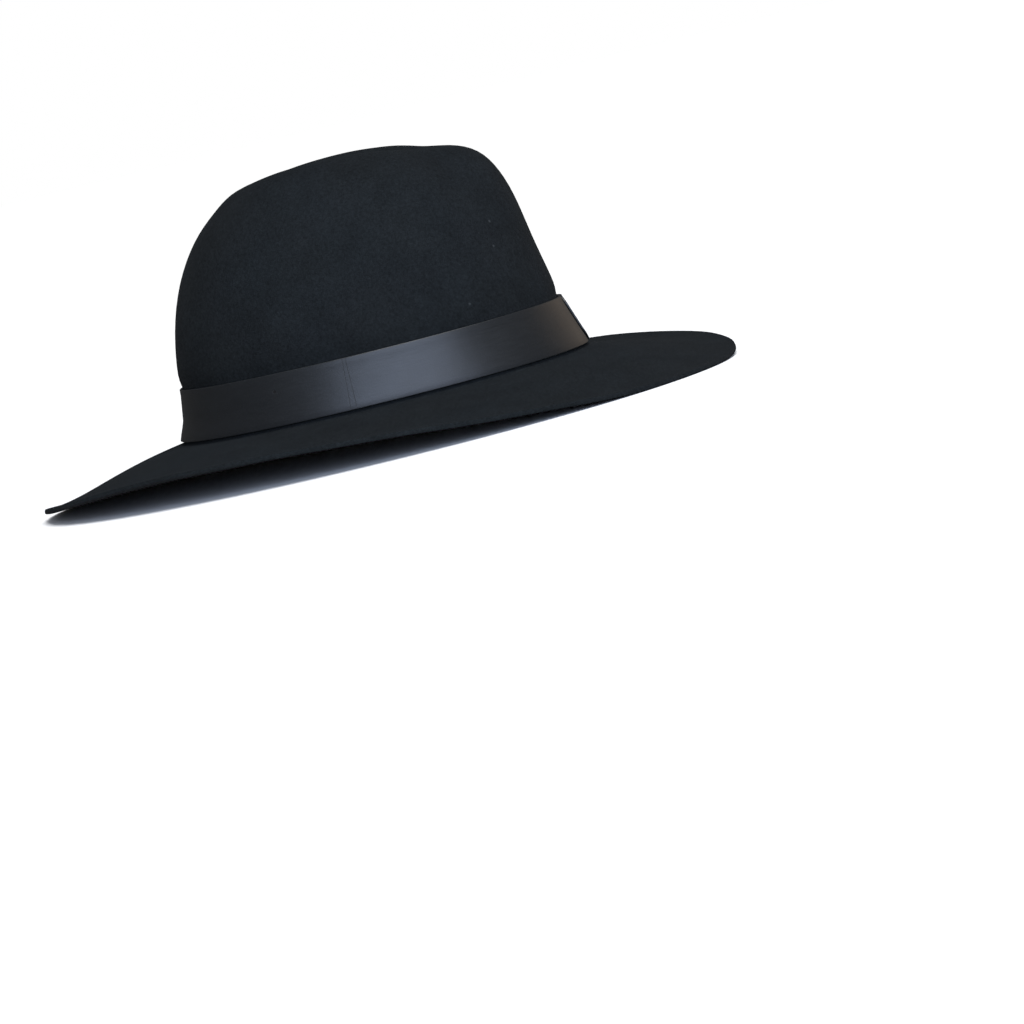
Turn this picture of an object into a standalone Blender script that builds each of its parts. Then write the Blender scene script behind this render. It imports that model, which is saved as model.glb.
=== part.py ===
import math

import bmesh
import bpy

# Felt hat with a leather band, resting on its brim. The wearer's front is -Y and the wearer's left is +X.
# Angles run round the hat from the front (0) over the wearer's left (+X, 90 degrees) to the back (180).

# Felt
FELT = 0.0025               # thickness of the felt
HEAD_LENGTH = 0.199         # opening for the head, front to back
HEAD_WIDTH = 0.165          # opening for the head, side to side
CROWN_HEIGHT = 0.1165       # inside height of the crown over the brim, which the rim of the dent passes by 1 %
CROWN_FORWARD = 0.0018      # how far the crown stands in front of the middle of the brim
BRIM_WIDTH = 0.076          # brim from the crown to its edge
BRIM_DROP = 0.016           # how far the brim falls from the crown to its front and back edge
BRIM_TWIST = 0.0055         # how far the edge dips at the front right and back left, and rises at the others
REST_FLAT = 0.0006          # felt pressed flat where the brim rests
BREAK_RADIUS = 0.005        # bend between brim and crown, on the underside
PINCH = 0.006               # depth of the two finger pinches beside the front of the crown
PINCH_ANGLE = math.radians(36)
PINCH_SPREAD = math.radians(17)

# Leather band
LEATHER = 0.0012            # thickness of the leather
GAP = 0.0003                # air between pieces
BAND_EASE = 0.0002          # extra air behind the band, whose flats don't line up with those of the crown
BAND_LOW = 0.0021           # lower edge of the band over the top of the brim
BAND_WIDTH = 0.0250         # height of the band
LAP_END = math.radians(9)   # angle where the outer end of the band lies
LAP_START = math.radians(56)    # angle where the inner end lies, under the outer one
LAP_RISE = math.radians(9)  # length over which the outer layer climbs onto the inner one
TIP = math.radians(4)       # length of the narrowed tip
TIP_CUT = 0.0042            # how much narrower the tip is, above and below

ROUND = 72                  # columns round the hat
BAND_ROUND = 84             # columns along the band

# Brim from its edge to the crown: share of BRIM_WIDTH, and the fall as a share of BRIM_DROP at the front and
# back and at the sides
OUT, FALL_ENDS, FALL_SIDES = range(3)
BRIM = (
    (1.00, 1.00, 0.38),
    (0.93, 1.01, 0.42),
    (0.76, 0.82, 0.39),
    (0.52, 0.48, 0.24),
    (0.27, 0.17, 0.08),
)
EDGE = BRIM[0]

# The edge's deepest fall, less what is pressed flat, is the height of the underside of the brim beside the crown
EDGE_MEAN = BRIM_DROP * (EDGE[FALL_ENDS] + EDGE[FALL_SIDES]) / 2
EDGE_SWING = math.hypot(BRIM_DROP * (EDGE[FALL_ENDS] - EDGE[FALL_SIDES]) / 2, BRIM_TWIST)
BREAK_Z = EDGE_MEAN + EDGE_SWING - REST_FLAT
BRIM_TOP_Z = BREAK_Z + FELT

# Crown from the break to the bottom of the dent, inside of the felt. Reach is a share of half the opening, rise
# a share of CROWN_HEIGHT, and pinched a share of PINCH. The band draws the felt in, and it swells out over it
REACH_FRONT, REACH_SIDE, REACH_BACK, RISE_FRONT, RISE_SIDE, RISE_BACK, PINCHED = range(7)
CROWN = (
    (0.968, 0.985, 0.964, 0.095, 0.095, 0.095, 0.00),
    (0.915, 0.962, 0.940, 0.225, 0.225, 0.225, 0.00),
    (0.922, 0.973, 0.952, 0.285, 0.285, 0.285, 0.00),
    (0.882, 0.940, 0.912, 0.460, 0.460, 0.460, 0.10),
    (0.845, 0.875, 0.832, 0.650, 0.660, 0.655, 0.40),
    (0.795, 0.765, 0.715, 0.797, 0.820, 0.808, 0.85),
    (0.722, 0.610, 0.592, 0.890, 0.932, 0.898, 1.00),
    (0.612, 0.465, 0.492, 0.936, 0.994, 0.955, 0.80),
    (0.505, 0.345, 0.395, 0.942, 1.010, 0.972, 0.35),
    (0.425, 0.235, 0.315, 0.915, 0.970, 0.952, 0.00),
    (0.350, 0.135, 0.235, 0.880, 0.890, 0.898, 0.00),
    (0.240, 0.055, 0.140, 0.852, 0.850, 0.858, 0.00),
)
DENT_FLOOR = 0.850          # middle of the dent, as a share of CROWN_HEIGHT


def clear_scene():
    for ob in list(bpy.data.objects):
        bpy.data.objects.remove(ob, do_unlink=True)


def material(name, color, roughness):
    mat = bpy.data.materials.new(name)
    mat.use_nodes = True
    shader = mat.node_tree.nodes["Principled BSDF"]
    shader.inputs["Base Color"].default_value = (*color, 1.0)
    shader.inputs["Roughness"].default_value = roughness
    shader.inputs["Metallic"].default_value = 0.0
    return mat


def around(front, side, back, angle):
    """A value given at the front, the sides and the back, at an angle between them."""
    end = front if math.cos(angle) > 0 else back
    return side + (end - side) * math.cos(angle) ** 2


def oval(front, side, back, angle, out=0.0, forward=CROWN_FORWARD):
    """Point on an oval with these half lengths, moved outward square to the oval and then forward."""
    length = front if math.cos(angle) > 0 else back
    x, y = side * math.sin(angle), -length * math.cos(angle)
    nx, ny = x / side ** 2, y / length ** 2
    size = math.hypot(nx, ny)
    return x + out * nx / size, y + out * ny / size - forward


def brim_point(row, angle):
    out = row[OUT] * BRIM_WIDTH
    fall = around(row[FALL_ENDS], row[FALL_SIDES], row[FALL_ENDS], angle) * BRIM_DROP
    fall -= row[OUT] ** 2 * BRIM_TWIST * math.sin(2 * angle)
    forward = CROWN_FORWARD * (1 - row[OUT])
    x, y = oval(HEAD_LENGTH / 2, HEAD_WIDTH / 2, HEAD_LENGTH / 2, angle, out, forward)
    return x, y, max(0.0, BREAK_Z - fall)


def break_point(turn, angle):
    """Bend from the brim (turn 0) up to the crown (turn 90 degrees), on the underside."""
    x, y = oval(HEAD_LENGTH / 2, HEAD_WIDTH / 2, HEAD_LENGTH / 2, angle, BREAK_RADIUS * (1 - math.sin(turn)))
    return x, y, BREAK_Z + BREAK_RADIUS * (1 - math.cos(turn))


def pinch_at(angle):
    off = math.remainder(abs(math.remainder(angle, math.tau)) - PINCH_ANGLE, math.tau)
    return PINCH * math.exp(-(off / PINCH_SPREAD) ** 2)


def crown_point(row, angle):
    x, y = oval(row[REACH_FRONT] * HEAD_LENGTH / 2, row[REACH_SIDE] * HEAD_WIDTH / 2,
                row[REACH_BACK] * HEAD_LENGTH / 2, angle, -row[PINCHED] * pinch_at(angle))
    rise = around(row[RISE_FRONT], row[RISE_SIDE], row[RISE_BACK], angle) * CROWN_HEIGHT
    return x, y, BRIM_TOP_Z + rise


def finish_object(name, bm, mat):
    mesh = bpy.data.meshes.new(name)
    bm.to_mesh(mesh)
    bm.free()
    mesh.polygons.foreach_set("use_smooth", [True] * len(mesh.polygons))
    mesh.materials.append(mat)
    ob = bpy.data.objects.new(name, mesh)
    bpy.context.scene.collection.objects.link(ob)
    return ob


def make_felt(mat):
    """Draws the underside of the brim and the inside of the crown inward, ring by ring, and thickens them."""
    angles = [math.tau * i / ROUND for i in range(ROUND)]
    turns = [math.radians(t) for t in (0, 45, 90)]
    rings = [[brim_point(row, a) for a in angles] for row in BRIM]
    rings += [[break_point(t, a) for a in angles] for t in turns]
    rings += [[crown_point(row, a) for a in angles] for row in CROWN]
    bm = bmesh.new()
    bmesh.ops.create_circle(bm, segments=ROUND, radius=1.0, cap_ends=False)
    loop = sorted(bm.verts, key=lambda v: math.atan2(v.co.x, -v.co.y) % math.tau)
    if abs(math.remainder(math.atan2(loop[0].co.x, -loop[0].co.y), math.tau)) > 0.01:
        loop = loop[-1:] + loop[:-1]
    for vert, place in zip(loop, rings[0]):
        vert.co = place
    for ring in rings[1:]:
        edges = [bm.edges.get((loop[i], loop[(i + 1) % ROUND])) for i in range(ROUND)]
        before = {v: i for i, v in enumerate(loop)}
        drawn = bmesh.ops.extrude_edge_only(bm, edges=edges)["geom"]
        inner = [None] * ROUND
        for vert in (g for g in drawn if isinstance(g, bmesh.types.BMVert)):
            old = next(e.other_vert(vert) for e in vert.link_edges if e.other_vert(vert) in before)
            inner[before[old]] = vert
        for vert, place in zip(inner, ring):
            vert.co = place
        loop = inner
    middle = bm.verts.new((0.0, sum(v.co.y for v in loop) / ROUND, BRIM_TOP_Z + DENT_FLOOR * CROWN_HEIGHT))
    for i in range(ROUND):
        bm.faces.new((loop[i], loop[(i + 1) % ROUND], middle))
    bmesh.ops.recalc_face_normals(bm, faces=bm.faces)
    if sum(f.normal.z * f.calc_area() for f in bm.faces) < 0:
        bmesh.ops.reverse_faces(bm, faces=bm.faces)
    ob = finish_object("felt_body", bm, mat)
    wall = ob.modifiers.new("felt thickness", "SOLIDIFY")
    wall.thickness = FELT
    wall.offset = 1.0
    wall.use_even_offset = True
    wall.use_rim = True
    return ob


def wall_reach(height):
    """Half lengths of the inside of the crown at a height over the top of the brim: front, side, back."""
    rows = [(1.0, 1.0, 1.0, BREAK_RADIUS - FELT)]
    rows += [(r[REACH_FRONT], r[REACH_SIDE], r[REACH_BACK], r[RISE_FRONT] * CROWN_HEIGHT) for r in CROWN[:3]]
    low, high = rows[0], rows[1]
    for low, high in zip(rows, rows[1:]):
        if height <= high[3]:
            break
    share = max(0.0, (height - low[3]) / (high[3] - low[3]))
    return [low[i] + (high[i] - low[i]) * share for i in range(3)]


def band_column(angle, lift, cut):
    """Section of the strip at one place: its outer side from low to high, then its inner side from high to low."""
    heights = [cut, BAND_WIDTH / 2, BAND_WIDTH - cut]
    inner = FELT + GAP + BAND_EASE + lift
    section = []
    for out, column in ((inner + LEATHER, heights), (inner, heights[::-1])):
        for height in column:
            front, side, back = wall_reach(BAND_LOW + height)
            x, y = oval(front * HEAD_LENGTH / 2, side * HEAD_WIDTH / 2, back * HEAD_LENGTH / 2, angle, out)
            section.append((x, y, BRIM_TOP_Z + BAND_LOW + height))
    return section


def make_band(mat):
    """A strip laid once round the crown, its outer end lapped over its inner end on the wearer's left."""
    end = LAP_END - math.tau
    angles = [LAP_START + (end + TIP - LAP_START) * i / BAND_ROUND for i in range(BAND_ROUND + 1)]
    angles += [end + TIP / 2, end]
    bm = bmesh.new()
    columns = []
    for angle in angles:
        climb = min(1.0, max(0.0, (LAP_START + LAP_RISE - math.tau - angle) / LAP_RISE))
        lift = (LEATHER + GAP) * climb * climb * (3 - 2 * climb)
        cut = TIP_CUT * min(1.0, max(0.0, 1 - (angle - end) / TIP)) ** 2
        columns.append([bm.verts.new(c) for c in band_column(angle, lift, cut)])
    corners = len(columns[0])
    for one, two in zip(columns, columns[1:]):
        for i in range(corners):
            j = (i + 1) % corners
            bm.faces.new((one[i], one[j], two[j], two[i]))
    for cap in (columns[0], columns[-1]):
        bm.faces.new(cap)
    bmesh.ops.recalc_face_normals(bm, faces=bm.faces)
    ob = finish_object("hat_band", bm, mat)
    ob.data.set_sharp_from_angle(angle=math.radians(40))


def main():
    clear_scene()
    make_felt(material("black_felt", (0.014, 0.016, 0.020), 0.95))
    make_band(material("black_leather", (0.030, 0.033, 0.038), 0.45))


main()
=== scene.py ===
import math

import bmesh
import bpy
from mathutils import Matrix, Vector, noise


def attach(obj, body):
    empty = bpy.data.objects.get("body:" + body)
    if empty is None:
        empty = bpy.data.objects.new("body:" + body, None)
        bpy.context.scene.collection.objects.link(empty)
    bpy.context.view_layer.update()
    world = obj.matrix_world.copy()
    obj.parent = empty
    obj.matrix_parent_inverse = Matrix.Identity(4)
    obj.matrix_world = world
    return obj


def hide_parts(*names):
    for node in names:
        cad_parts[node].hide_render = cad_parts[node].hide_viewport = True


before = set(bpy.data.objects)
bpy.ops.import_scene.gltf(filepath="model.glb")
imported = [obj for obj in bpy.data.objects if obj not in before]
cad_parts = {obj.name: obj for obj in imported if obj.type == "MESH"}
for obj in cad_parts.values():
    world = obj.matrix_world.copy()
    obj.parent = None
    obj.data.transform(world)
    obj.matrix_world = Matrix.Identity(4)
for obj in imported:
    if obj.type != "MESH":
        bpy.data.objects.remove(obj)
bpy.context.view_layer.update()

# The hat rests on its brim. The wearer's front is -Y and the wearer's left is +X. Angles run round the hat
# from the front (0) over the wearer's left (90 degrees) to the back (180).

# Felt
FELT = 0.0025               # thickness of the felt
HEAD_LENGTH = 0.199         # opening for the head, front to back
HEAD_WIDTH = 0.165          # opening for the head, side to side
CROWN_HEIGHT = 0.1165       # inside height of the crown over the brim; the dent's rim passes it by 1 %
CROWN_FORWARD = 0.0018      # how far the crown stands in front of the middle of the brim
BRIM_WIDTH = 0.076          # brim from the crown to its edge
BRIM_DROP = 0.016           # how far the brim falls from the crown to its front and back edge
BRIM_TWIST = 0.0055         # how far the edge dips at the front right and back left, and rises between
REST_FLAT = 0.0006          # felt pressed flat where the brim rests
BREAK_RADIUS = 0.005        # bend between brim and crown, on the underside
PINCH = 0.006               # depth of the two finger pinches beside the front of the crown
PINCH_ANGLE = math.radians(36)
PINCH_SPREAD = math.radians(17)
CUT_EDGE = 0.0006           # rounding of the cut edge of the brim
SWELL, SWELLS = 0.0009, 17.0    # height of the slow waves in hand-made felt, and how many to a metre
DIMPLE, DIMPLES = 0.0004, 43.0  # the same for its smaller ones
LAID_FLAT = 0.004           # below this height the waves die away towards the floor

# Leather band
LEATHER = 0.0012            # thickness of the leather
GAP = 0.0005                # air between the layers
BAND_LOW = 0.0021           # lower edge of the band over the top of the brim
BAND_WIDTH = 0.0250         # height of the band
LAP_END = math.radians(9)   # angle where the outer end of the band lies
LAP_START = math.radians(56)    # angle where the inner end lies, under the outer one
LAP_RISE = math.radians(9)  # length over which the outer layer climbs onto the inner one
TIP = math.radians(4)       # length of the narrowed tip
TIP_CUT = 0.0042            # how much narrower the tip is, above and below
LEATHER_EDGE = 0.0004       # rounding of the band's edges
HIDE_SWELL, HIDE_SWELLS = 0.00016, 3.1  # height of the slow waves in the hide, and how many to a radian
HIDE_DIMPLE, HIDE_DIMPLES = 0.00005, 11.0   # the same for its smaller ones

ROUND = 72                  # columns round the hat
BAND_ROUND = 168            # columns along the band
BAND_ROWS = 8               # rows across the band
TIP_STEPS = 6               # columns along its narrowed tip

# Brim from its edge to the crown: share of BRIM_WIDTH, and the fall as a share of BRIM_DROP at the front
# and back and at the sides
OUT, FALL_ENDS, FALL_SIDES = range(3)
BRIM = (
    (1.00, 1.00, 0.38),
    (0.93, 1.01, 0.42),
    (0.76, 0.82, 0.39),
    (0.52, 0.48, 0.24),
    (0.27, 0.17, 0.08),
)
EDGE = BRIM[0]

# The edge's deepest fall, less what is pressed flat, is how high the brim's underside lies beside the crown
EDGE_MEAN = BRIM_DROP * (EDGE[FALL_ENDS] + EDGE[FALL_SIDES]) / 2
EDGE_SWING = math.hypot(BRIM_DROP * (EDGE[FALL_ENDS] - EDGE[FALL_SIDES]) / 2, BRIM_TWIST)
BREAK_Z = EDGE_MEAN + EDGE_SWING - REST_FLAT
BRIM_TOP_Z = BREAK_Z + FELT

# Crown from the break to the bottom of the dent, inside of the felt. Reach is a share of half the opening,
# rise a share of CROWN_HEIGHT, and pinched a share of PINCH. The band draws the felt in, and it swells out
# over it
REACH_FRONT, REACH_SIDE, REACH_BACK, RISE_FRONT, RISE_SIDE, RISE_BACK, PINCHED = range(7)
CROWN = (
    (0.968, 0.985, 0.964, 0.095, 0.095, 0.095, 0.00),
    (0.915, 0.962, 0.940, 0.225, 0.225, 0.225, 0.00),
    (0.922, 0.973, 0.952, 0.285, 0.285, 0.285, 0.00),
    (0.882, 0.940, 0.912, 0.460, 0.460, 0.460, 0.10),
    (0.845, 0.875, 0.832, 0.650, 0.660, 0.655, 0.40),
    (0.795, 0.765, 0.715, 0.797, 0.820, 0.808, 0.85),
    (0.722, 0.610, 0.592, 0.890, 0.932, 0.898, 1.00),
    (0.612, 0.465, 0.492, 0.936, 0.994, 0.955, 0.80),
    (0.505, 0.345, 0.395, 0.942, 1.010, 0.972, 0.35),
    (0.425, 0.235, 0.315, 0.915, 0.970, 0.952, 0.00),
    (0.350, 0.135, 0.235, 0.880, 0.890, 0.898, 0.00),
    (0.240, 0.055, 0.140, 0.852, 0.850, 0.858, 0.00),
)
DENT_FLOOR = 0.850          # middle of the dent, as a share of CROWN_HEIGHT

# Small marks on the felt: near which place, and how far each reaches
LINT = (
    ((-0.0389, -0.0905, 0.0440), 0.0007),
    ((-0.0647, -0.0600, 0.0573), 0.0006),
    ((-0.0433, -0.0760, 0.0808), 0.0006),
    ((-0.0379, -0.0770, 0.0928), 0.0007),
)

# Small marks on the leather: angle, height on the band, and for a crease its slant over the band's height
CREASES = (
    (math.radians(-93.6), 0.010, math.radians(0.5)),
    (math.radians(-92.2), 0.010, math.radians(-0.3)),
)
CREASE_WIDTH = 0.0003
PIN_HOLE = (math.radians(-115), 0.0165)
PIN_REACH = 0.0011


def srgb(code):
    """A colour written as sRGB hex, in the linear values that a shader takes."""
    parts = [int(code[i:i + 2], 16) / 255 for i in (1, 3, 5)]
    return [c / 12.92 if c <= 0.04045 else ((c + 0.055) / 1.055) ** 2.4 for c in parts] + [1.0]


# Shape of the felt


def around(front, side, back, angle):
    """A value given at the front, the sides and the back, at an angle between them."""
    end = front if math.cos(angle) > 0 else back
    return side + (end - side) * math.cos(angle) ** 2


def oval(front, side, back, angle, out=0.0, forward=CROWN_FORWARD):
    """Point on an oval with these half lengths, moved outward square to the oval and then forward."""
    length = front if math.cos(angle) > 0 else back
    x, y = side * math.sin(angle), -length * math.cos(angle)
    nx, ny = x / side ** 2, y / length ** 2
    size = math.hypot(nx, ny)
    return x + out * nx / size, y + out * ny / size - forward


def brim_point(row, angle):
    out = row[OUT] * BRIM_WIDTH
    fall = around(row[FALL_ENDS], row[FALL_SIDES], row[FALL_ENDS], angle) * BRIM_DROP
    fall -= row[OUT] ** 2 * BRIM_TWIST * math.sin(2 * angle)
    forward = CROWN_FORWARD * (1 - row[OUT])
    x, y = oval(HEAD_LENGTH / 2, HEAD_WIDTH / 2, HEAD_LENGTH / 2, angle, out, forward)
    return x, y, max(0.0, BREAK_Z - fall)


def break_point(turn, angle):
    """Bend from the brim (turn 0) up to the crown (turn 90 degrees), on the underside."""
    out = BREAK_RADIUS * (1 - math.sin(turn))
    x, y = oval(HEAD_LENGTH / 2, HEAD_WIDTH / 2, HEAD_LENGTH / 2, angle, out)
    return x, y, BREAK_Z + BREAK_RADIUS * (1 - math.cos(turn))


def pinch_at(angle):
    off = math.remainder(abs(math.remainder(angle, math.tau)) - PINCH_ANGLE, math.tau)
    return PINCH * math.exp(-(off / PINCH_SPREAD) ** 2)


def crown_point(row, angle):
    x, y = oval(row[REACH_FRONT] * HEAD_LENGTH / 2, row[REACH_SIDE] * HEAD_WIDTH / 2,
                row[REACH_BACK] * HEAD_LENGTH / 2, angle, -row[PINCHED] * pinch_at(angle))
    rise = around(row[RISE_FRONT], row[RISE_SIDE], row[RISE_BACK], angle) * CROWN_HEIGHT
    return x, y, BRIM_TOP_Z + rise


def curve_through(points, share):
    """Point on a smooth curve through all the points. share runs from 0 to the number of spans."""
    i = min(int(share), len(points) - 2)
    t = share - i
    a, b, c, d = [Vector(points[max(0, min(len(points) - 1, k))]) for k in (i - 1, i, i + 1, i + 2)]
    bend = (2 * a - 5 * b + 4 * c - d) * t ** 2
    return 0.5 * (2 * b + (c - a) * t + bend + (3 * b - a - 3 * c + d) * t ** 3)


def felt_rings():
    """Rings of the underside and the inside, from the brim's edge to the dent."""
    angles = [math.tau * i / ROUND for i in range(ROUND)]
    brim = [[brim_point(row, a) for row in BRIM] + [break_point(0, a)] for a in angles]
    crown = [[break_point(math.radians(90), a)] + [crown_point(row, a) for row in CROWN] for a in angles]
    rings = [[curve_through(column, s / 2) for column in brim] for s in range(2 * len(BRIM) + 1)]
    for place in [place for ring in rings for place in ring]:
        place.z = max(0.0, place.z)
    rings += [[Vector(break_point(math.radians(t), a)) for a in angles] for t in (30, 60)]
    rings += [[curve_through(column, s / 2) for column in crown] for s in range(2 * len(CROWN) + 1)]
    return rings


def unevenness(place):
    """Hand-made felt is never quite even: slow waves of some tenths of a millimetre, less under the band."""
    free = min(1.0, abs(place.z - BRIM_TOP_Z - BAND_LOW - BAND_WIDTH / 2) / BAND_WIDTH) ** 2
    free *= min(1.0, place.z / LAID_FLAT)
    swell = SWELL * noise.noise(place * SWELLS)
    dimple = DIMPLE * noise.noise(place * DIMPLES + Vector((3.1, 0.7, 5.3)))
    return free * (swell + dimple)


# Modelling


def deselect():
    if bpy.context.object and bpy.context.object.mode != "OBJECT":
        bpy.ops.object.mode_set(mode="OBJECT")
    bpy.ops.object.select_all(action="DESELECT")


def apply_modifiers(ob):
    bpy.context.view_layer.objects.active = ob
    for mod in list(ob.modifiers):
        bpy.ops.object.modifier_apply(modifier=mod.name)


def key(place):
    return tuple(round(c, 6) for c in place)


def draw_rings(ob, rings, first, marks=None):
    """Extrudes the selected loop or face from ring to ring. first says which place on a ring a vertex starts
    from, and marks are values that each vertex keeps as an attribute."""
    bpy.ops.object.mode_set(mode="EDIT")
    bpy.ops.mesh.select_mode(type="VERT")
    bpy.ops.mesh.select_all(action="SELECT")
    if marks:
        bm = bmesh.from_edit_mesh(ob.data)
        for name in marks:
            bm.verts.layers.float.new(name)
    for k, ring in enumerate(rings):
        if k:
            bpy.ops.mesh.extrude_region_move()
            spot = {key(place): i for i, place in enumerate(rings[k - 1])}
        bm = bmesh.from_edit_mesh(ob.data)
        layers = [bm.verts.layers.float[name] for name in marks] if marks else []
        for vert in [v for v in bm.verts if v.select]:
            i = spot[key(vert.co)] if k else first(vert.co)
            vert.co = ring[i]
            for layer, name in zip(layers, marks or ()):
                vert[layer] = marks[name][k][i]
        bmesh.update_edit_mesh(ob.data)


def make_felt():
    """Draws the brim and crown inward from a circle, ring by ring, then gives the felt its thickness."""
    rings = felt_rings()
    deselect()
    bpy.ops.mesh.primitive_circle_add(vertices=ROUND, radius=HEAD_LENGTH / 2 + BRIM_WIDTH, location=(0, 0, 0))
    ob = bpy.context.object
    ob.name = ob.data.name = "hat_felt"
    draw_rings(ob, rings, lambda co: round(math.atan2(co.x, -co.y) / math.tau * ROUND) % ROUND)
    bpy.ops.mesh.edge_face_add()
    bpy.ops.mesh.poke()
    bm = bmesh.from_edit_mesh(ob.data)
    last_ring = {key(place) for place in rings[-1]}
    middle = next(vert for vert in bm.verts if vert.select and key(vert.co) not in last_ring)
    middle.co.z = BRIM_TOP_Z + DENT_FLOOR * CROWN_HEIGHT
    bm.normal_update()
    for vert in bm.verts:
        vert.co += vert.normal * unevenness(vert.co)
    bmesh.update_edit_mesh(ob.data)
    bpy.ops.object.mode_set(mode="OBJECT")
    if sum(face.normal.z * face.area for face in ob.data.polygons) < 0:
        ob.data.flip_normals()
    wall = ob.modifiers.new("felt thickness", "SOLIDIFY")
    wall.thickness = FELT
    wall.offset = 1.0
    wall.use_even_offset = True
    cut = ob.modifiers.new("cut edge", "BEVEL")
    cut.width = CUT_EDGE
    cut.segments = 2
    cut.limit_method = "ANGLE"
    cut.angle_limit = math.radians(60)
    finer = ob.modifiers.new("smoother", "SUBSURF")
    finer.levels = finer.render_levels = 1
    apply_modifiers(ob)
    deselect()
    ob.select_set(True)
    bpy.ops.object.shade_smooth()
    return ob


# Shape of the band


def wall_reach(height):
    """Half lengths of the inside of the crown at a height over the top of the brim: front, side, back."""
    rows = [(1.0, 1.0, 1.0, BREAK_RADIUS - FELT)]
    for row in CROWN[:3]:
        rows.append((row[REACH_FRONT], row[REACH_SIDE], row[REACH_BACK], row[RISE_FRONT] * CROWN_HEIGHT))
    for low, high in zip(rows, rows[1:]):
        if height <= high[3]:
            break
    share = max(0.0, (height - low[3]) / (high[3] - low[3]))
    return [low[i] + (high[i] - low[i]) * share for i in range(3)]


def band_point(angle, height, out):
    front, side, back = wall_reach(BAND_LOW + height)
    x, y = oval(front * HEAD_LENGTH / 2, side * HEAD_WIDTH / 2, back * HEAD_LENGTH / 2, angle,
                FELT + GAP + out)
    return Vector((x, y, BRIM_TOP_Z + BAND_LOW + height))


def band_columns():
    """Sections of the strip from its inner end to its outer end. Beside them each corner's length along the
    leather, height on it and angle round the hat, for the patterns."""
    end = LAP_END - math.tau
    angles = [LAP_START + (end + TIP - LAP_START) * i / BAND_ROUND for i in range(BAND_ROUND)]
    angles += [end + TIP * (1 - i / TIP_STEPS) for i in range(TIP_STEPS + 1)]
    columns, along, across, turn = [], [], [], []
    length, last = 0.0, None
    for angle in angles:
        climb = min(1.0, max(0.0, (LAP_START + LAP_RISE - math.tau - angle) / LAP_RISE))
        lift = (LEATHER + GAP) * climb * climb * (3 - 2 * climb)
        cut = TIP_CUT * min(1.0, max(0.0, 1 - (angle - end) / TIP)) ** 2.5
        heights = [cut + (BAND_WIDTH - 2 * cut) * j / BAND_ROWS for j in range(BAND_ROWS + 1)]
        swell = HIDE_SWELL * noise.noise(Vector((angle * HIDE_SWELLS, 0.4, 0.9)))
        swell += HIDE_DIMPLE * noise.noise(Vector((angle * HIDE_DIMPLES, 2, 7)))
        section = []
        for height in heights:
            face = lift + LEATHER + swell * math.sin(math.pi * height / BAND_WIDTH)
            section.append(band_point(angle, height, face))
        section += [band_point(angle, height, lift) for height in reversed(heights)]
        middle = section[BAND_ROWS // 2]
        length += (middle - last).length if last else 0.0
        last = middle
        columns.append(section)
        along.append([length] * len(section))
        across.append(heights + heights[::-1])
        turn.append([angle] * len(section))
    return columns, {"along": along, "across": across, "turn": turn}


def make_band():
    """Draws the strip's section once round the crown, from under the lap to its outer end."""
    columns, marks = band_columns()
    count = len(columns[0])
    deselect()
    bpy.ops.mesh.primitive_circle_add(vertices=count, radius=BAND_WIDTH / 2, fill_type="NGON",
                                      location=(0, 0, 0))
    ob = bpy.context.object
    ob.name = ob.data.name = "leather_band"
    draw_rings(ob, columns, lambda co: round(math.atan2(co.x, -co.y) / math.tau * count) % count, marks)
    bpy.ops.mesh.select_all(action="SELECT")
    bpy.ops.mesh.normals_make_consistent(inside=False)
    bpy.ops.object.mode_set(mode="OBJECT")
    edge = ob.modifiers.new("rounded edges", "BEVEL")
    edge.width = LEATHER_EDGE
    edge.segments = 3
    edge.limit_method = "ANGLE"
    edge.angle_limit = math.radians(50)
    apply_modifiers(ob)
    deselect()
    ob.select_set(True)
    bpy.context.view_layer.objects.active = ob
    bpy.ops.object.shade_smooth_by_angle(angle=math.radians(40))
    return ob


# Finishes


def add(tree, kind, settings=None, **inputs):
    """Adds a node. An input is named, or numbered i0, i1 and so on, and takes a value or a node's output."""
    node = tree.nodes.new(kind)
    for name, value in (settings or {}).items():
        setattr(node, name, value)
    for name, value in inputs.items():
        number = name[1:].isdigit() and name[0] == "i"
        socket = node.inputs[int(name[1:])] if number else node.inputs[name.replace("_", " ")]
        if isinstance(value, bpy.types.NodeSocket):
            tree.links.new(value, socket)
        else:
            socket.default_value = value
    return node


def on_surface(ob, marks):
    """Moves each mark's place onto the nearest point of a piece."""
    return [(tuple(ob.closest_point_on_mesh(Vector(place))[1]), reach) for place, reach in marks]


def start_material(name):
    mat = bpy.data.materials.new(name)
    mat.use_nodes = True
    tree = mat.node_tree
    tree.nodes.clear()
    return mat, tree


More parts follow.
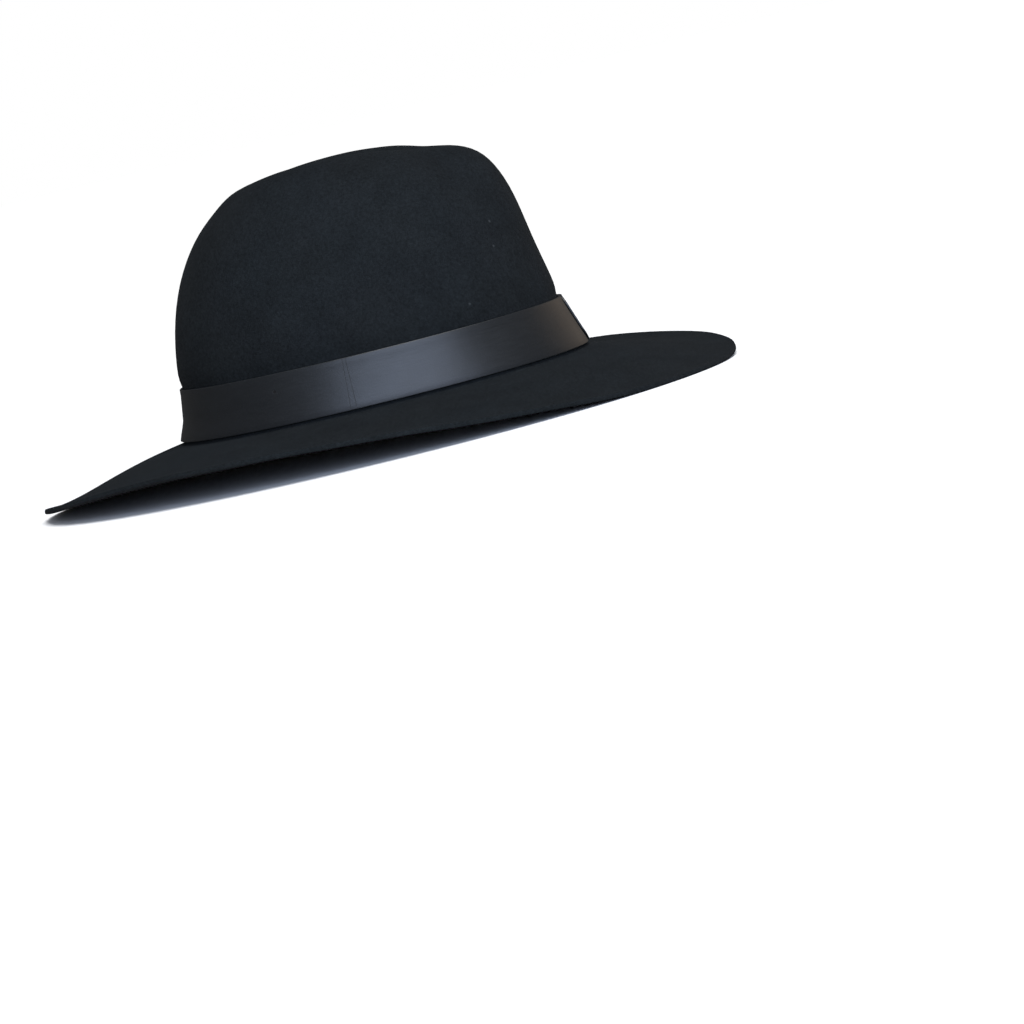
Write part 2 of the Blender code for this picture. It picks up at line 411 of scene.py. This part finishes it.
def wool_felt(marks):
    """Fulled and brushed wool or fur felt, dyed black. The dye leaves a blue cast with neutral patches. The
    short fibres make the face dull and slightly mottled and catch light at the turn of the crown. A little
    lint lies on it. marks are the places and sizes of the pieces of lint that the eye finds first."""
    mat, tree = start_material("wool_felt")
    spot = add(tree, "ShaderNodeTexCoord").outputs["Object"]
    # patches of dye, about 18 mm across, and cloudier ones of 50 mm
    patch = add(tree, "ShaderNodeTexNoise", Vector=spot, Scale=1 / 0.018, Detail=4.0,
                Roughness=0.6).outputs["Fac"]
    cloud = add(tree, "ShaderNodeTexNoise", Vector=spot, Scale=1 / 0.05, Detail=2.0,
                Roughness=0.5).outputs["Fac"]
    # matted fibres: clumps of about 1.5 mm, drawn that coarse so that they show, and hairs of 0.4 mm
    clump = add(tree, "ShaderNodeTexNoise", Vector=spot, Scale=1 / 0.0015, Detail=3.0, Roughness=0.65,
                Distortion=0.6).outputs["Fac"]
    hair = add(tree, "ShaderNodeTexNoise", Vector=spot, Scale=1 / 0.0004, Detail=2.0,
               Roughness=0.7).outputs["Fac"]
    tone = add(tree, "ShaderNodeMix", {"data_type": "RGBA"}, i0=cloud, i6=srgb("#161a1d"),
               i7=srgb("#17191a")).outputs[2]
    dyed = add(tree, "ShaderNodeMapRange", i0=patch, i1=0.35, i2=0.65, i3=0.90, i4=1.10).outputs[0]
    matted = add(tree, "ShaderNodeMapRange", i0=clump, i1=0.3, i2=0.7, i3=0.70, i4=1.30).outputs[0]
    fine = add(tree, "ShaderNodeMapRange", i0=hair, i1=0.3, i2=0.7, i3=0.80, i4=1.20).outputs[0]
    both = add(tree, "ShaderNodeMath", {"operation": "MULTIPLY"}, i0=dyed, i1=matted).outputs[0]
    level = add(tree, "ShaderNodeMath", {"operation": "MULTIPLY"}, i0=both, i1=fine).outputs[0]
    color = add(tree, "ShaderNodeVectorMath", {"operation": "SCALE"}, i0=tone, Scale=level).outputs[0]
    # lint: pale specks under a millimetre, a few at chosen places and the rest scattered about 25 mm apart
    cells = add(tree, "ShaderNodeTexVoronoi", Vector=spot, Scale=1 / 0.011, Randomness=1.0)
    near = add(tree, "ShaderNodeMath", {"operation": "LESS_THAN"}, i0=cells.outputs["Distance"],
               i1=0.022).outputs[0]
    pick = add(tree, "ShaderNodeSeparateColor", i0=cells.outputs["Color"]).outputs[0]
    few = add(tree, "ShaderNodeMath", {"operation": "GREATER_THAN"}, i0=pick, i1=0.72).outputs[0]
    lint = add(tree, "ShaderNodeMath", {"operation": "MULTIPLY"}, i0=near, i1=few).outputs[0]
    for place, reach in marks:
        away = add(tree, "ShaderNodeVectorMath", {"operation": "DISTANCE"}, i0=spot,
                   i1=place).outputs["Value"]
        here = add(tree, "ShaderNodeMath", {"operation": "LESS_THAN"}, i0=away, i1=reach).outputs[0]
        lint = add(tree, "ShaderNodeMath", {"operation": "MAXIMUM"}, i0=lint, i1=here).outputs[0]
    faint = add(tree, "ShaderNodeMath", {"operation": "MULTIPLY"}, i0=lint, i1=0.20).outputs[0]
    color = add(tree, "ShaderNodeMix", {"data_type": "RGBA"}, i0=faint, i6=color,
                i7=srgb("#54585a")).outputs[2]
    rise = add(tree, "ShaderNodeMath", {"operation": "MULTIPLY_ADD"}, i0=clump, i1=2.2, i2=hair).outputs[0]
    bump = add(tree, "ShaderNodeBump", Strength=0.55, Distance=0.0002, Height=rise)
    dull = add(tree, "ShaderNodeMapRange", i0=clump, i1=0.3, i2=0.7, i3=0.88, i4=1.0).outputs[0]
    shader = add(tree, "ShaderNodeBsdfPrincipled", Base_Color=color, Roughness=dull, IOR=1.45,
                 Normal=bump.outputs["Normal"])
    shader.inputs["Specular IOR Level"].default_value = 0.05
    shader.inputs["Sheen Weight"].default_value = 0.015
    shader.inputs["Sheen Roughness"].default_value = 0.40
    shader.inputs["Sheen Tint"].default_value = srgb("#c4c8cc")
    add(tree, "ShaderNodeOutputMaterial", Surface=shader.outputs["BSDF"])
    return mat


def smooth_leather():
    """Smooth calf or cowhide strap leather, dyed black and lightly waxed. The grain is fine and nearly flat,
    so the face has a soft satin shine that runs along the strap, with slow waves, two faint creases and a pin
    hole. The creases and the hole are darkened in colour as painted shade, the hole nearly to black."""
    mat, tree = start_material("smooth_leather")
    along = add(tree, "ShaderNodeAttribute", {"attribute_name": "along"}).outputs["Fac"]
    across = add(tree, "ShaderNodeAttribute", {"attribute_name": "across"}).outputs["Fac"]
    turn = add(tree, "ShaderNodeAttribute", {"attribute_name": "turn"}).outputs["Fac"]
    flat = add(tree, "ShaderNodeCombineXYZ", X=along, Y=across).outputs[0]
    # pores and wrinkles of the grain, about 0.7 mm apart
    grain = add(tree, "ShaderNodeTexVoronoi", {"feature": "F1"}, Vector=flat,
                Scale=1 / 0.0007).outputs["Distance"]
    # brushed wax: streaks of 0.9 mm that run along the strap, twelve times as long
    pulled = add(tree, "ShaderNodeMapping", Vector=flat, Scale=(1 / 12, 1, 1)).outputs[0]
    streak = add(tree, "ShaderNodeTexNoise", Vector=pulled, Scale=1 / 0.0009, Detail=4.0,
                 Roughness=0.6).outputs["Fac"]
    # slow waves of the hide, about 22 mm apart
    wave = add(tree, "ShaderNodeTexNoise", Vector=flat, Scale=1 / 0.022, Detail=2.0,
               Roughness=0.5).outputs["Fac"]
    # creases from the roll that the strap was kept in, and the hole of a pin that once held it, both darker
    # as painted shade. Half the opening's width turns an angle round the hat into a length, near enough
    dent_and_painted_shade = None
    for angle, height, slant in CREASES:
        lean = add(tree, "ShaderNodeMath", {"operation": "MULTIPLY_ADD"}, i0=across, i1=slant / BAND_WIDTH,
                   i2=angle - slant * height / BAND_WIDTH).outputs[0]
        off = add(tree, "ShaderNodeMath", {"operation": "SUBTRACT"}, i0=turn, i1=lean).outputs[0]
        off = add(tree, "ShaderNodeMath", {"operation": "ABSOLUTE"}, i0=off).outputs[0]
        # painted shade: the crease's colour is darkened by up to 22 % along its line, where shade falls in it
        near = add(tree, "ShaderNodeMapRange", {"interpolation_type": "SMOOTHSTEP"}, i0=off, i1=0.0,
                   i2=CREASE_WIDTH / (HEAD_WIDTH / 2), i3=0.22, i4=0.0).outputs[0]
        if dent_and_painted_shade:
            near = add(tree, "ShaderNodeMath", {"operation": "MAXIMUM"}, i0=near, i1=dent_and_painted_shade).outputs[0]
        dent_and_painted_shade = near
    aside = add(tree, "ShaderNodeMath", {"operation": "MULTIPLY_ADD"}, i0=turn, i1=HEAD_WIDTH / 2,
                i2=-PIN_HOLE[0] * HEAD_WIDTH / 2).outputs[0]
    above = add(tree, "ShaderNodeMath", {"operation": "SUBTRACT"}, i0=across, i1=PIN_HOLE[1]).outputs[0]
    offset = add(tree, "ShaderNodeCombineXYZ", X=aside, Y=above).outputs[0]
    away = add(tree, "ShaderNodeVectorMath", {"operation": "LENGTH"}, i0=offset).outputs["Value"]
    # painted shade: the hole's colour is darkened by 95 %, nearly to black, as the shade inside it
    hole = add(tree, "ShaderNodeMapRange", i0=away, i1=PIN_REACH / 2, i2=PIN_REACH, i3=0.95,
               i4=0.0).outputs[0]
    dent_and_painted_shade = add(tree, "ShaderNodeMath", {"operation": "MAXIMUM"}, i0=dent_and_painted_shade, i1=hole).outputs[0]
    # the colour keeps the share that the painted shade of the creases and the hole leaves
    unshaded_share = add(tree, "ShaderNodeMath", {"operation": "SUBTRACT"}, i0=1.0, i1=dent_and_painted_shade).outputs[0]
    level = add(tree, "ShaderNodeMapRange", i0=streak, i1=0.3, i2=0.7, i3=0.90, i4=1.10).outputs[0]
    level = add(tree, "ShaderNodeMath", {"operation": "MULTIPLY"}, i0=level, i1=unshaded_share).outputs[0]
    color = add(tree, "ShaderNodeVectorMath", {"operation": "SCALE"}, i0=srgb("#17191b")[:3],
                Scale=level).outputs[0]
    shine = add(tree, "ShaderNodeMapRange", i0=streak, i1=0.25, i2=0.75, i3=0.39, i4=0.44).outputs[0]
    worn = add(tree, "ShaderNodeMapRange", i0=wave, i1=0.3, i2=0.7, i3=-0.02, i4=0.02).outputs[0]
    shine = add(tree, "ShaderNodeMath", {"operation": "ADD"}, i0=shine, i1=worn).outputs[0]
    shine = add(tree, "ShaderNodeMath", {"operation": "MULTIPLY_ADD"}, i0=dent_and_painted_shade, i1=0.8, i2=shine).outputs[0]
    pores = add(tree, "ShaderNodeMath", {"operation": "MULTIPLY_ADD"}, i0=grain, i1=0.3, i2=streak).outputs[0]
    rise = add(tree, "ShaderNodeMath", {"operation": "MULTIPLY_ADD"}, i0=wave, i1=6.0, i2=pores).outputs[0]
    rise = add(tree, "ShaderNodeMath", {"operation": "MULTIPLY_ADD"}, i0=dent_and_painted_shade, i1=-2.0, i2=rise).outputs[0]
    bump = add(tree, "ShaderNodeBump", Strength=0.35, Distance=0.0001, Height=rise)
    shader = add(tree, "ShaderNodeBsdfPrincipled", Base_Color=color, Roughness=shine, IOR=1.5,
                 Normal=bump.outputs["Normal"])
    shader.inputs["Specular IOR Level"].default_value = 0.5
    add(tree, "ShaderNodeOutputMaterial", Surface=shader.outputs["BSDF"])
    return mat


def studio_white(name):
    """Matt white paper, rolled out as the floor."""
    mat, tree = start_material(name)
    shader = add(tree, "ShaderNodeBsdfPrincipled", Base_Color=srgb("#fafafa"), Roughness=0.9)
    add(tree, "ShaderNodeOutputMaterial", Surface=shader.outputs["BSDF"])
    return mat


# Studio

ROOM_LIGHT, ROOM_MIRRORED = 0.30, 0.09  # strength of the surroundings as light, and in the leather's shine
AZIMUTH, ELEVATION, ROLL = math.radians(-84.0), math.radians(5.5), math.radians(-13.93)
DISTANCE = 2.2              # from the camera to the hat
ASIDE, BELOW = 0.0641, -0.0573  # where the camera's axis passes the hat
LENS = 4465.0 / 1024 * 36   # long lens, in millimetres on a 36 mm sensor


def make_camera():
    back = Vector((math.sin(AZIMUTH) * math.cos(ELEVATION), -math.cos(AZIMUTH) * math.cos(ELEVATION),
                   math.sin(ELEVATION)))
    level = Vector((0, 0, 1)).cross(back).normalized()
    upright = back.cross(level)
    right = level * math.cos(ROLL) + upright * math.sin(ROLL)
    up = upright * math.cos(ROLL) - level * math.sin(ROLL)
    place = Vector((0, 0, BRIM_TOP_Z)) + back * DISTANCE + right * ASIDE + up * BELOW
    data = bpy.data.cameras.new("camera")
    data.lens = LENS
    data.sensor_width = 36.0
    data.clip_start, data.clip_end = 0.01, 200.0
    camera = bpy.data.objects.new("camera", data)
    camera.matrix_world = Matrix.Translation(place) @ Matrix((right, up, back)).transposed().to_4x4()
    bpy.context.scene.collection.objects.link(camera)
    bpy.context.scene.camera = camera


def make_floor():
    deselect()
    bpy.ops.mesh.primitive_plane_add(size=120.0, location=(0, 0, 0))
    floor = bpy.context.object
    floor.name = "floor"
    floor.data.materials.append(studio_white("floor_white"))
    # the leather mirrors the dim room and not the paper
    floor.visible_glossy = False


def soft_light(name, azimuth, elevation, distance, size, power, color="#ffffff"):
    """A rectangular softbox aimed at the crown."""
    a, e = math.radians(azimuth), math.radians(elevation)
    back = Vector((math.sin(a) * math.cos(e), -math.cos(a) * math.cos(e), math.sin(e)))
    data = bpy.data.lights.new(name, "AREA")
    data.shape = "RECTANGLE"
    data.size, data.size_y = size
    data.energy = power
    data.color = srgb(color)[:3]
    light = bpy.data.objects.new(name, data)
    light.location = Vector((0, 0, 0.06)) + back * distance
    light.rotation_mode = "QUATERNION"
    light.rotation_quaternion = back.to_track_quat("Z", "Y")
    bpy.context.scene.collection.objects.link(light)


def make_light():
    """Surroundings that are white to the camera and dim as light, a soft overhead light from the camera's
    side, a window beside the camera and a little warm light from the room in front of the hat."""
    world = bpy.data.worlds.new("studio")
    bpy.context.scene.world = world
    world.use_nodes = True
    tree = world.node_tree
    tree.nodes.clear()
    ray = add(tree, "ShaderNodeLightPath").outputs
    room = add(tree, "ShaderNodeMapRange", i0=ray["Is Glossy Ray"], i1=0.0, i2=1.0, i3=ROOM_LIGHT,
               i4=ROOM_MIRRORED).outputs[0]
    strength = add(tree, "ShaderNodeMapRange", i0=ray["Is Camera Ray"], i1=0.0, i2=1.0, i3=room,
                   i4=1.0).outputs[0]
    sky = add(tree, "ShaderNodeBackground", Color=srgb("#ffffff"), Strength=strength)
    add(tree, "ShaderNodeOutputWorld", Surface=sky.outputs[0])
    sun = bpy.data.lights.new("overhead", "SUN")
    sun.energy = 3.1
    sun.angle = math.radians(40)
    overhead = bpy.data.objects.new("overhead", sun)
    overhead.rotation_euler = (math.radians(14), math.radians(-26), 0)
    bpy.context.scene.collection.objects.link(overhead)
    soft_light("window", -76, 14, 2.4, (2.6, 1.0), 50.0, "#cfe0ff")
    soft_light("room", 50, 12, 2.4, (2.0, 1.2), 3.0, "#ffe4c8")
    view = bpy.context.scene.view_settings
    view.view_transform = "Standard"
    view.look = "None"


# The hat

felt = make_felt()
felt.data.materials.append(wool_felt(on_surface(felt, LINT)))
band = make_band()
band.data.materials.append(smooth_leather())
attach(felt, "root")
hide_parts("felt_body")
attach(band, "root")
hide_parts("hat_band")

make_camera()
make_floor()
make_light()
